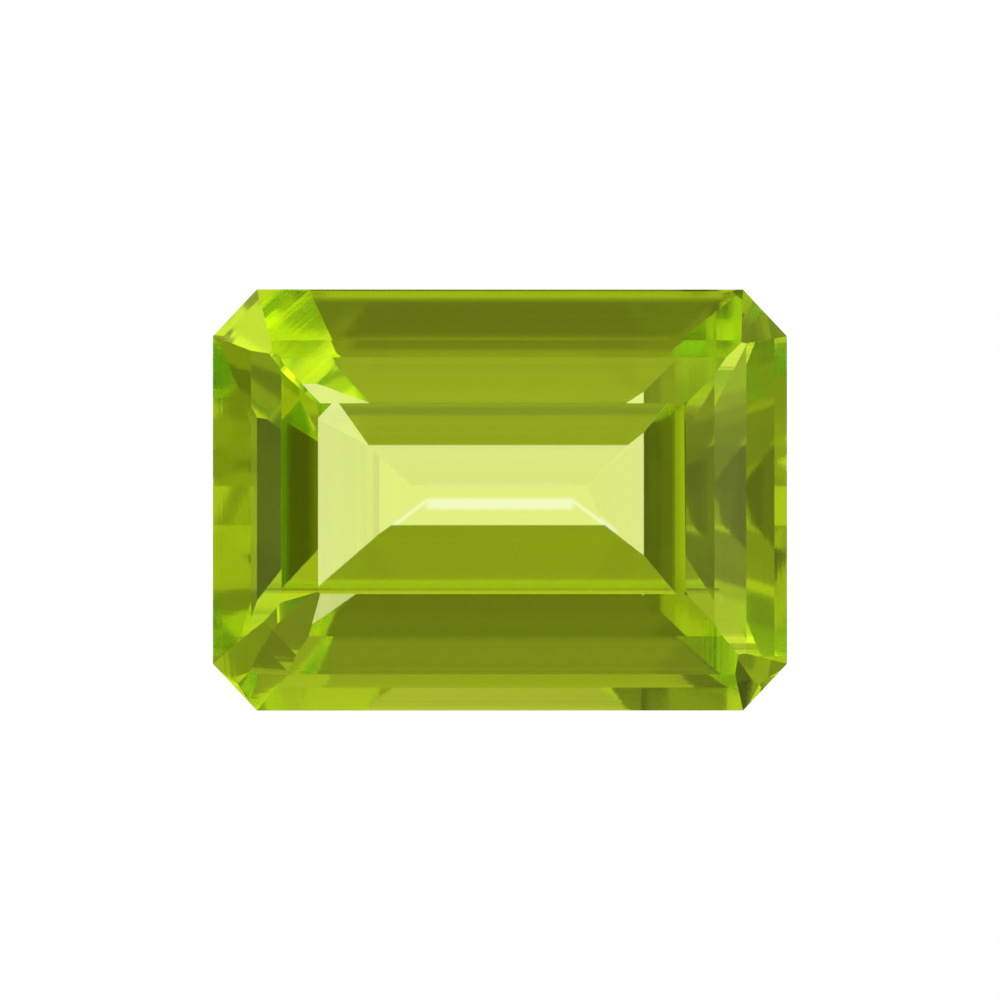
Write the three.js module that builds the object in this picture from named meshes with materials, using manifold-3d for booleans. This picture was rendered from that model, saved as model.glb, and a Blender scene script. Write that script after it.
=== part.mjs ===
// A peridot cut as an emerald-cut gemstone: one clear olive-green stone, 15 mm long and 11 mm wide,
// lying on one of its long lower facets, the way such a stone comes to rest on a flat surface.
// Millimetres and degrees. In the finished frame +X runs along the stone and +Z is up.
//
// The stone is shaped the way a cutter shapes it. The preform is a straight-sided block with the
// outline of the girdle. Every facet is then ground flat: the table on top, three steps of crown
// facets between it and the girdle, and three steps of pavilion facets below the girdle, down to
// the keel. Each step goes round eight sides: the far and near long sides, the left and right
// ends, and the four clipped corners.

import * as THREE from 'three';
import { mergeVertices } from 'three/addons/utils/BufferGeometryUtils.js';
import Module from 'manifold-3d';

// The outline and the heights. The stone is drawn table up, with height 0 halfway up the girdle.
const LENGTH = 15.0;
const WIDTH = 11.0;
const CORNER_ALONG_LENGTH = 1.15;
const CORNER_ALONG_WIDTH = 1.22;
const GIRDLE_THICKNESS = 0.2;
const TABLE_HEIGHT = 2.05;
const KEEL_DEPTH = 4.85;
const TABLE_CORNER_CLIP = 0.04;

// The long sides and the ends. "table" is where the table ends, "lastStep" where the last pavilion
// step begins and "keel" where the keel lies or ends, all from the middle of the outline as seen
// from above. A step's run is how far in it reaches, and its angle is measured from the girdle.
// The last crown step takes the height that is left up to the table, and the first pavilion step
// the depth that is left down to the keel, so neither has an angle of its own here.
const FAR = {
  azimuth: 90,
  table: 2.5,
  lastStep: 1.45,
  keel: 0.4,
  crownRuns: [1.35, 0.45],
  crownAngles: [38.5, 35],
  pavilionRun: 0.5,
  pavilionAngles: [37.5, 33],
};
const NEAR = {
  azimuth: -90,
  table: 2.45,
  lastStep: 0.65,
  keel: -0.4,
  crownRuns: [0.95, 1],
  crownAngles: [42, 31],
  pavilionRun: 1.4,
  pavilionAngles: [38.5, 16],
};
const LEFT = {
  azimuth: 180,
  table: 4.75,
  lastStep: 3.15,
  keel: 2.3,
  crownRuns: [1, 0.8],
  crownAngles: [42, 37],
  pavilionRun: 2.3,
  pavilionAngles: [34.5, 29.5],
};
const RIGHT = {
  azimuth: 0,
  table: 4.8,
  lastStep: 3.8,
  keel: 2.3,
  crownRuns: [1.1, 0.85],
  crownAngles: [43, 34],
  pavilionRun: 0.85,
  pavilionAngles: [44, 32],
};

// The four corners, each between a long side and an end. Their last crown step also ends at the
// table, and their last pavilion step runs out at the hips before it reaches the keel.
const CORNERS = [
  {
    between: [FAR, LEFT],
    crownRuns: [1.4, 0.45],
    crownAngles: [42, 24.5],
    pavilionRuns: [0.55, 2.9],
    pavilionAngles: [50.5, 40.5, 32.5],
  },
  {
    between: [FAR, RIGHT],
    crownRuns: [1.3, 0.3],
    crownAngles: [47.5, 29.5],
    pavilionRuns: [1.4, 2.9],
    pavilionAngles: [69, 43.5, 23.5],
  },
  {
    between: [NEAR, LEFT],
    crownRuns: [1.3, 0.45],
    crownAngles: [34.5, 31],
    pavilionRuns: [1.25, 2.9],
    pavilionAngles: [67.5, 50.5, 38],
  },
  {
    between: [NEAR, RIGHT],
    crownRuns: [1.35, 0.3],
    crownAngles: [46, 38],
    pavilionRuns: [1.95, 2.9],
    pavilionAngles: [60.5, 38.5, 26.5],
  },
];

const UP = 1;
const DOWN = -1;
const rad = THREE.MathUtils.degToRad;
const deg = THREE.MathUtils.radToDeg;
const rise = (run, angle) => run * Math.tan(rad(angle));
const sum = (numbers) => numbers.reduce((total, number) => total + number, 0);

// How far the girdle is from the middle on a long side or an end.
function reachOf(side) {
  return Math.abs(Math.cos(rad(side.azimuth))) > 0.5 ? LENGTH / 2 : WIDTH / 2;
}

// A corner faces outwards at right angles to the line that clips the outline there.
function cornerOutward([longSide, end]) {
  const across = Math.sign(Math.sin(rad(longSide.azimuth)));
  const along = Math.sign(Math.cos(rad(end.azimuth)));
  return new THREE.Vector2(along * CORNER_ALONG_WIDTH, across * CORNER_ALONG_LENGTH).normalize();
}

// The plane that leans in at angle from the girdle's plane, outward of the middle, and passes
// through the point that lies reach from the middle at height.
function facetPlane(outward, angle, reach, height, upOrDown) {
  const normal = new THREE.Vector3(outward.x, outward.y, 0).multiplyScalar(Math.sin(rad(angle)));
  normal.z = upOrDown * Math.cos(rad(angle));
  const point = new THREE.Vector3(outward.x * reach, outward.y * reach, height);
  return new THREE.Plane().setFromNormalAndCoplanarPoint(normal, point);
}

// The steps of one side, in from the girdle: each begins where the one before it ends.
function stepPlanes(outward, reach, steps, upOrDown) {
  const planes = [];
  let height = (upOrDown * GIRDLE_THICKNESS) / 2;
  for (const { run, angle } of steps) {
    planes.push(facetPlane(outward, angle, reach, height, upOrDown));
    reach -= run;
    height += upOrDown * rise(run, angle);
  }
  return planes;
}

// The crown steps of one side, of which the last ends at the table.
function crownSteps(reach, tableEdge, runs, angles) {
  const lastRun = reach - sum(runs) - tableEdge;
  const climbed = sum(runs.map((run, i) => rise(run, angles[i])));
  const lastAngle = deg(Math.atan((TABLE_HEIGHT - GIRDLE_THICKNESS / 2 - climbed) / lastRun));
  return [...runs, lastRun].map((run, i) => ({ run, angle: [...angles, lastAngle][i] }));
}

// The pavilion steps of a long side or an end, whose last step reaches the keel's depth at the keel.
function pavilionSteps(side, reach) {
  const [middleAngle, lastAngle] = side.pavilionAngles;
  const middleRun = reach - side.pavilionRun - side.lastStep;
  const lastRun = side.lastStep - side.keel;
  const sunk = rise(middleRun, middleAngle) + rise(lastRun, lastAngle);
  const firstAngle = deg(Math.atan((KEEL_DEPTH - GIRDLE_THICKNESS / 2 - sunk) / side.pavilionRun));
  return [
    { run: side.pavilionRun, angle: firstAngle },
    { run: middleRun, angle: middleAngle },
    { run: lastRun, angle: lastAngle },
  ];
}

// All the facets of a long side or an end.
function sidePlanes(side) {
  const outward = new THREE.Vector2(Math.cos(rad(side.azimuth)), Math.sin(rad(side.azimuth)));
  const reach = reachOf(side);
  const crown = crownSteps(reach, side.table, side.crownRuns, side.crownAngles);
  return [
    ...stepPlanes(outward, reach, crown, UP),
    ...stepPlanes(outward, reach, pavilionSteps(side, reach), DOWN),
  ];
}

// All the facets of a clipped corner.
function cornerPlanes(corner) {
  const outward = cornerOutward(corner.between);
  const [longSide, end] = corner.between;
  const girdleCorner = new THREE.Vector2(
    Math.sign(outward.x) * (LENGTH / 2 - CORNER_ALONG_LENGTH),
    Math.sign(outward.y) * (WIDTH / 2),
  );
  const tableCorner = new THREE.Vector2(
    Math.sign(outward.x) * end.table,
    Math.sign(outward.y) * longSide.table,
  );
  const reach = outward.dot(girdleCorner);
  const tableEdge = outward.dot(tableCorner) - TABLE_CORNER_CLIP;
  const crown = crownSteps(reach, tableEdge, corner.crownRuns, corner.crownAngles);
  const pavilion = corner.pavilionAngles.map((angle, i) => ({
    run: corner.pavilionRuns[i] ?? 0,
    angle,
  }));
  return [
    ...stepPlanes(outward, reach, crown, UP),
    ...stepPlanes(outward, reach, pavilion, DOWN),
  ];
}

// The outline of the girdle: a rectangle with its four corners clipped.
function girdleOutline() {
  const x = LENGTH / 2;
  const y = WIDTH / 2;
  const points = [
    [x, -y + CORNER_ALONG_WIDTH],
    [x, y - CORNER_ALONG_WIDTH],
    [x - CORNER_ALONG_LENGTH, y],
    [-x + CORNER_ALONG_LENGTH, y],
    [-x, y - CORNER_ALONG_WIDTH],
    [-x, -y + CORNER_ALONG_WIDTH],
    [-x + CORNER_ALONG_LENGTH, -y],
    [x - CORNER_ALONG_LENGTH, -y],
  ];
  return new THREE.Shape(points.map(([px, py]) => new THREE.Vector2(px, py)));
}

const wasm = await Module();
wasm.setup();

// A closed three.js geometry as a solid that can be cut.
function toSolid(geometry) {
  geometry.deleteAttribute('normal');
  geometry.deleteAttribute('uv');
  const merged = mergeVertices(geometry);
  return new wasm.Manifold(
    new wasm.Mesh({
      numProp: 3,
      vertProperties: merged.attributes.position.array,
      triVerts: new Uint32Array(merged.index.array),
    }),
  );
}

// A solid back as a three.js geometry with flat faces.
function toGeometry(solid) {
  const mesh = solid.getMesh();
  const indexed = new THREE.BufferGeometry();
  indexed.setAttribute('position', new THREE.BufferAttribute(mesh.vertProperties, 3));
  indexed.setIndex(new THREE.BufferAttribute(mesh.triVerts, 1));
  const flat = indexed.toNonIndexed();
  flat.computeVertexNormals();
  return flat;
}

// The block that the preform is cut from, a little taller than the finished stone at both ends.
function preform() {
  const spare = 0.5;
  const block = new THREE.ExtrudeGeometry(girdleOutline(), {
    depth: TABLE_HEIGHT + KEEL_DEPTH + 2 * spare,
    bevelEnabled: false,
  });
  block.translate(0, 0, -KEEL_DEPTH - spare);
  return toSolid(block);
}

// Grinding a facet takes off everything outside its plane: a block that stands on the plane.
function grind(solid, plane) {
  const size = 3 * LENGTH;
  const waste = new THREE.BoxGeometry(size, size, size);
  waste.translate(0, 0, size / 2);
  const turn = new THREE.Quaternion().setFromUnitVectors(new THREE.Vector3(0, 0, 1), plane.normal);
  waste.applyQuaternion(turn);
  waste.translate(...plane.normal.clone().multiplyScalar(-plane.constant).toArray());
  return solid.subtract(toSolid(waste));
}

// The cut stone, table up.
function cutStone() {
  const table = new THREE.Plane(new THREE.Vector3(0, 0, 1), -TABLE_HEIGHT);
  const facets = [table, ...[FAR, NEAR, LEFT, RIGHT].flatMap(sidePlanes), ...CORNERS.flatMap(cornerPlanes)];
  return toGeometry(facets.reduce(grind, preform()));
}

const stone = new THREE.Mesh(
  cutStone(),
  new THREE.MeshStandardMaterial({ color: '#8fb01c', roughness: 0.05, metalness: 0 }),
);
stone.name = 'peridot';

// A loose stone can't stand on its keel. It tips over onto the middle step of the near long side,
// so the table faces up and towards -Y.
stone.rotation.x = rad(NEAR.pavilionAngles[0]);
const box = new THREE.Box3().setFromObject(stone, true);
stone.position.y = -(box.min.y + box.max.y) / 2;
stone.position.z = -box.min.z;

const peridot = new THREE.Group();
peridot.add(stone);

export default peridot;
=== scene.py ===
# A cut peridot on a plain white surface: the stone, the surface it lies on, the light and the camera.
import math
import bpy
from mathutils import Matrix, Vector


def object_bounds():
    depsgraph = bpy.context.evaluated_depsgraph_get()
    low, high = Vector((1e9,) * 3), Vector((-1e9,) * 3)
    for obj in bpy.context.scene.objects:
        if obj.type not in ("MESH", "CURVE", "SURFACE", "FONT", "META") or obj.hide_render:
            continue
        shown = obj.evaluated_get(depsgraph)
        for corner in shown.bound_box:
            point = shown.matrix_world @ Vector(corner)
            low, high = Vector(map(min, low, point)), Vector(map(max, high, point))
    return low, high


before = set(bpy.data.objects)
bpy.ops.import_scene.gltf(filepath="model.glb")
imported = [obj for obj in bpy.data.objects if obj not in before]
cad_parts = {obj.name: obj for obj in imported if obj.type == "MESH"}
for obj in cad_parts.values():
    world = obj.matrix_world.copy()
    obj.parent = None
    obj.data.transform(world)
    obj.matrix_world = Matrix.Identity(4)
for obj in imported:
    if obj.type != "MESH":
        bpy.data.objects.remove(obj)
cad_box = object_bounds()


# The stone. One clear olive-green peridot, cut with a table, stepped crown and pavilion facets and
# clipped corners. Each facet is ground flat and polished on a turning lap; only the thin girdle round
# the widest part keeps the fine matt surface that it got when the outline was ground.
MM = 0.001
TABLE_TILT = math.radians(38.5)
TABLE_NORMAL = Vector((0, -math.sin(TABLE_TILT), math.cos(TABLE_TILT)))
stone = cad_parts["peridot"]


def linear(hex_colour):
    """An sRGB hex colour as linear red, green and blue, with 1 for alpha."""
    parts = [int(hex_colour[i : i + 2], 16) / 255 for i in (1, 3, 5)]
    return [c / 12.92 if c <= 0.04045 else ((c + 0.055) / 1.055) ** 2.4 for c in parts] + [1]


def add_node(owner, kind, links=(), **settings):
    """A new node with its settings and links, each link an input, the node it comes from, its output."""
    tree = owner.node_tree
    node = tree.nodes.new(kind)
    for name, value in settings.items():
        setattr(node, name, value)
    for socket, source, output in links:
        tree.links.new(source.outputs[output], node.inputs[socket])
    return node


# Polished peridot. Clear glass to the eye, with olivine's index of 1.67. Iron colours it through and
# through, so a longer path is a deeper green, and the blue goes first. The lap leaves a surface that
# is a little soft, with the faintest lines along each facet, drawn coarser than real ones so that
# they show. They blur what is seen after several reflections inside. The matt girdle scatters light.
PERIDOT_INDEX = 1.67
FACET_ROUGHNESS = 0.05
GIRDLE_ROUGHNESS = 0.35
GIRDLE_LEAN = 0.02
LINE_SPACING = 0.3 * MM
LINE_DEPTH = 0.0015 * MM
peridot = bpy.data.materials.new("polished_peridot")
peridot.use_nodes = True
peridot.node_tree.nodes.clear()
shape = add_node(peridot, "ShaderNodeNewGeometry")
off_table = add_node(
    peridot,
    "ShaderNodeVectorMath",
    operation="DOT_PRODUCT",
    links=((0, shape, "True Normal"),),
)
off_table.inputs[1].default_value = TABLE_NORMAL
lean = add_node(peridot, "ShaderNodeMath", operation="ABSOLUTE", links=((0, off_table, "Value"),))
on_girdle = add_node(peridot, "ShaderNodeMath", operation="LESS_THAN", links=((0, lean, 0),))
on_girdle.inputs[1].default_value = GIRDLE_LEAN
finish = add_node(peridot, "ShaderNodeMix", links=((0, on_girdle, 0),))
finish.inputs[2].default_value = FACET_ROUGHNESS
finish.inputs[3].default_value = GIRDLE_ROUGHNESS
place = add_node(peridot, "ShaderNodeTexCoord")
height = add_node(
    peridot,
    "ShaderNodeVectorMath",
    operation="DOT_PRODUCT",
    links=((0, place, "Object"),),
)
height.inputs[1].default_value = TABLE_NORMAL
lap_lines = add_node(
    peridot,
    "ShaderNodeTexNoise",
    noise_dimensions="1D",
    links=(("W", height, "Value"),),
)
lap_lines.inputs["Scale"].default_value = 1 / LINE_SPACING
lap_lines.inputs["Detail"].default_value = 3.0
lap_grain = add_node(peridot, "ShaderNodeBump", links=(("Height", lap_lines, 0),))
lap_grain.inputs["Strength"].default_value = 1.0
lap_grain.inputs["Distance"].default_value = LINE_DEPTH
polished = add_node(
    peridot,
    "ShaderNodeBsdfPrincipled",
    links=(("Roughness", finish, 0), ("Normal", lap_grain, 0)),
)
polished.inputs["Base Color"].default_value = (1, 1, 1, 1)
polished.inputs["IOR"].default_value = PERIDOT_INDEX
polished.inputs["Transmission Weight"].default_value = 1.0
iron = add_node(peridot, "ShaderNodeVolumeAbsorption")
iron.inputs["Color"].default_value = linear("#f2fa68")
iron.inputs["Density"].default_value = 240.0
add_node(
    peridot,
    "ShaderNodeOutputMaterial",
    links=(("Surface", polished, "BSDF"), ("Volume", iron, "Volume")),
)
stone.data.materials.clear()
stone.data.materials.append(peridot)

# Where two facets meet, the edge is not perfectly sharp: the polish leaves it a hair round.
EDGE_ROUNDING = 0.02 * MM
joined = stone.modifiers.new("joined", "WELD")
joined.merge_threshold = 0.001 * MM
worn_edge = stone.modifiers.new("worn_edge", "BEVEL")
worn_edge.width = EDGE_ROUNDING
worn_edge.segments = 1
worn_edge.limit_method = "ANGLE"
worn_edge.angle_limit = math.radians(1)


# The surface that the stone lies on: a plain white sheet, lit so evenly that it shows no shadow. The
# outsides of the facets don't mirror it, which keeps the steep ones as dark as in the photograph.
bpy.ops.mesh.primitive_plane_add(size=4, location=(0, 0, -0.02 * MM))
floor = bpy.context.object
floor.name = "floor"
floor.visible_glossy = False
white_sheet = bpy.data.materials.new("white_sheet")
white_sheet.use_nodes = True
white_sheet.node_tree.nodes.clear()
paper = add_node(white_sheet, "ShaderNodeEmission")
paper.inputs["Color"].default_value = (1, 1, 1, 1)
paper.inputs["Strength"].default_value = 1.0

# Painted light on the sheet under the stone: bars of bluish light that the sheet gives off itself, as
# painted caustics along the stone's keel and its two hips, where a real stone would gather light. Each is
# a bar with soft edges between two points, in millimetres, with a width and a strength. The bars show
# only through the stone: seen directly, the sheet is already as white as it can be.
PAINTED_CAUSTIC_BARS = [
    ((-1.9, 2.93), (1.95, 2.93), 0.4, 1.4),
    ((-1.9, 3.05), (-3.0, 1.85), 0.1, 1.26),
    ((1.95, 3.05), (3.05, 1.85), 0.1, 1.26),
]
EDGE_SOFTNESS = 0.12 * MM
spot = add_node(white_sheet, "ShaderNodeTexCoord")


def inside_bar(from_middle, way, reach):
    """1 within reach of the bar's middle, measured one way, fading softly to 0 past it."""
    off = add_node(
        white_sheet,
        "ShaderNodeVectorMath",
        operation="DOT_PRODUCT",
        links=((0, from_middle, 0),),
    )
    off.inputs[1].default_value = way
    distance = add_node(white_sheet, "ShaderNodeMath", operation="ABSOLUTE", links=((0, off, "Value"),))
    edge = add_node(
        white_sheet,
        "ShaderNodeMapRange",
        interpolation_type="SMOOTHSTEP",
        links=((0, distance, 0),),
    )
    softness = min(reach, EDGE_SOFTNESS)
    edge.inputs["From Min"].default_value = reach - softness
    edge.inputs["From Max"].default_value = reach + softness
    edge.inputs["To Min"].default_value = 1
    edge.inputs["To Max"].default_value = 0
    return edge


sheet_and_painted_light = paper
for start, end, width, strength in PAINTED_CAUSTIC_BARS:
    start, end = Vector((*start, 0)) * MM, Vector((*end, 0)) * MM
    along = (end - start).normalized()
    across = Vector((-along.y, along.x, 0))
    from_middle = add_node(
        white_sheet,
        "ShaderNodeVectorMath",
        operation="SUBTRACT",
        links=((0, spot, "Object"),),
    )
    from_middle.inputs[1].default_value = (start + end) / 2
    in_length = inside_bar(from_middle, along, (end - start).length / 2)
    in_width = inside_bar(from_middle, across, width * MM / 2)
    in_both = add_node(
        white_sheet,
        "ShaderNodeMath",
        operation="MULTIPLY",
        links=((0, in_length, 0), (1, in_width, 0)),
    )
    brightness = add_node(white_sheet, "ShaderNodeMath", operation="MULTIPLY", links=((0, in_both, 0),))
    brightness.inputs[1].default_value = strength
    # Each bar is painted light: the sheet itself glows bluish there, though no lamp is there.
    bar = add_node(white_sheet, "ShaderNodeEmission", links=(("Strength", brightness, 0),))
    bar.inputs["Color"].default_value = linear("#6459ff")
    sheet_and_painted_light = add_node(white_sheet, "ShaderNodeAddShader", links=((0, sheet_and_painted_light, 0), (1, bar, 0)))
add_node(white_sheet, "ShaderNodeOutputMaterial", links=(("Surface", sheet_and_painted_light, 0),))
floor.data.materials.append(white_sheet)


# The light: a dark room with soft lamps of warm light all round the stone, and a few panels of
# daylight. Each has its place, as degrees round from +X and degrees up, its narrowness, where 5 is
# the widest softbox and 200 a small panel, and its strength.
WARM_LAMPS = [
    (150, 40, 14, 1.9),
    (345, 20, 14, 1.0),
    (285, 20, 14, 0.4),
    (240, 5, 14, 0.5),
    (0, 80, 14, 0.7),
    (45, 55, 5, 0.3),
    (15, 30, 40, 0.3),
    (60, 25, 40, 0.8),
    (100, 25, 40, 1.0),
    (135, 20, 40, 0.5),
    (200, 5, 40, 0.6),
    (210, 55, 40, 0.5),
    (270, 40, 40, 0.3),
    (330, 55, 40, 0.3),
]
DAYLIGHT = [
    (60, 15, 60, 2.7),
    (350, 25, 200, 1.4),
    (195, 5, 200, 1.0),
]
LIGHT_BOUNCES = 24
scene = bpy.context.scene
scene.view_settings.view_transform = "Standard"
room = bpy.data.worlds.new("room")
scene.world = room
room.use_nodes = True
room.node_tree.nodes.clear()
direction = add_node(room, "ShaderNodeTexCoord")


def lamps(places, colour):
    """A background with one soft lamp at each place."""
    total = None
    for around, raised, narrowness, strength in places:
        around, raised = math.radians(around), math.radians(raised)
        facing = add_node(
            room,
            "ShaderNodeVectorMath",
            operation="DOT_PRODUCT",
            links=((0, direction, "Generated"),),
        )
        facing.inputs[1].default_value = (
            math.cos(raised) * math.cos(around),
            math.cos(raised) * math.sin(around),
            math.sin(raised),
        )
        away = add_node(room, "ShaderNodeMath", operation="MULTIPLY_ADD", links=((0, facing, "Value"),))
        away.inputs[1].default_value = narrowness
        away.inputs[2].default_value = -narrowness
        fade = add_node(room, "ShaderNodeMath", operation="EXPONENT", links=((0, away, 0),))
        links = [(0, fade, 0)] if total is None else [(0, fade, 0), (2, total, 0)]
        total = add_node(room, "ShaderNodeMath", operation="MULTIPLY_ADD", links=links)
        total.inputs[1].default_value = strength
        total.inputs[2].default_value = 0
    shine = add_node(room, "ShaderNodeBackground", links=(("Strength", total, 0),))
    shine.inputs["Color"].default_value = colour
    return shine


warm = lamps(WARM_LAMPS, linear("#fbff89"))
cool = lamps(DAYLIGHT, linear("#ffffff"))
both = add_node(room, "ShaderNodeAddShader", links=((0, warm, 0), (1, cool, 0)))
ground = add_node(room, "ShaderNodeBackground")
ground.inputs["Strength"].default_value = 0.1
upright = add_node(room, "ShaderNodeSeparateXYZ", links=(("Vector", direction, "Generated"),))
above = add_node(room, "ShaderNodeMath", operation="GREATER_THAN", links=((0, upright, "Z"),))
above.inputs[1].default_value = 0
room_and_ground = add_node(
    room,
    "ShaderNodeMixShader",
    links=((0, above, 0), (1, ground, 0), (2, both, 0)),
)
add_node(room, "ShaderNodeOutputWorld", links=(("Surface", room_and_ground, 0),))
scene.cycles.max_bounces = LIGHT_BOUNCES
scene.cycles.glossy_bounces = LIGHT_BOUNCES
scene.cycles.transmission_bounces = LIGHT_BOUNCES


# The camera looks almost square on to the table, from a little to the left of its normal and a
# little lower, through a long lens. It aims at the middle of the outline, at the girdle's height. The
# picture is 1000 pixels wide where the stone is 574 long.
CAMERA_DISTANCE = 290 * MM
PICTURE_WIDTH = 1000
STONE_IN_PICTURE = 574
TABLE_ABOVE_GIRDLE = 2.05 * MM
TO_THE_LEFT = math.radians(0.8)
LOWER = math.radians(0.3)
rightwards = Vector((1, 0, 0))
up_the_table = Vector((0, math.cos(TABLE_TILT), math.sin(TABLE_TILT)))
heights = [up_the_table.dot(vertex.co) for vertex in stone.data.vertices]
depths = [TABLE_NORMAL.dot(vertex.co) for vertex in stone.data.vertices]
aim = up_the_table * (min(heights) + max(heights)) / 2 + TABLE_NORMAL * (max(depths) - TABLE_ABOVE_GIRDLE)
off_normal = rightwards * math.tan(TO_THE_LEFT) + up_the_table * math.tan(LOWER)
stone_length = cad_box[1][0] - cad_box[0][0]
lens = bpy.data.cameras.new("camera")
lens.lens = lens.sensor_width * CAMERA_DISTANCE / (stone_length * PICTURE_WIDTH / STONE_IN_PICTURE)
lens.clip_start = 10 * MM
camera = bpy.data.objects.new("camera", lens)
scene.collection.objects.link(camera)
camera.location = aim + (TABLE_NORMAL - off_normal) * CAMERA_DISTANCE
backwards = (camera.location - aim).normalized()
upwards = backwards.cross(rightwards).normalized()
turned = Matrix((upwards.cross(backwards), upwards, backwards)).transposed()
camera.rotation_euler = turned.to_euler()
scene.camera = camera
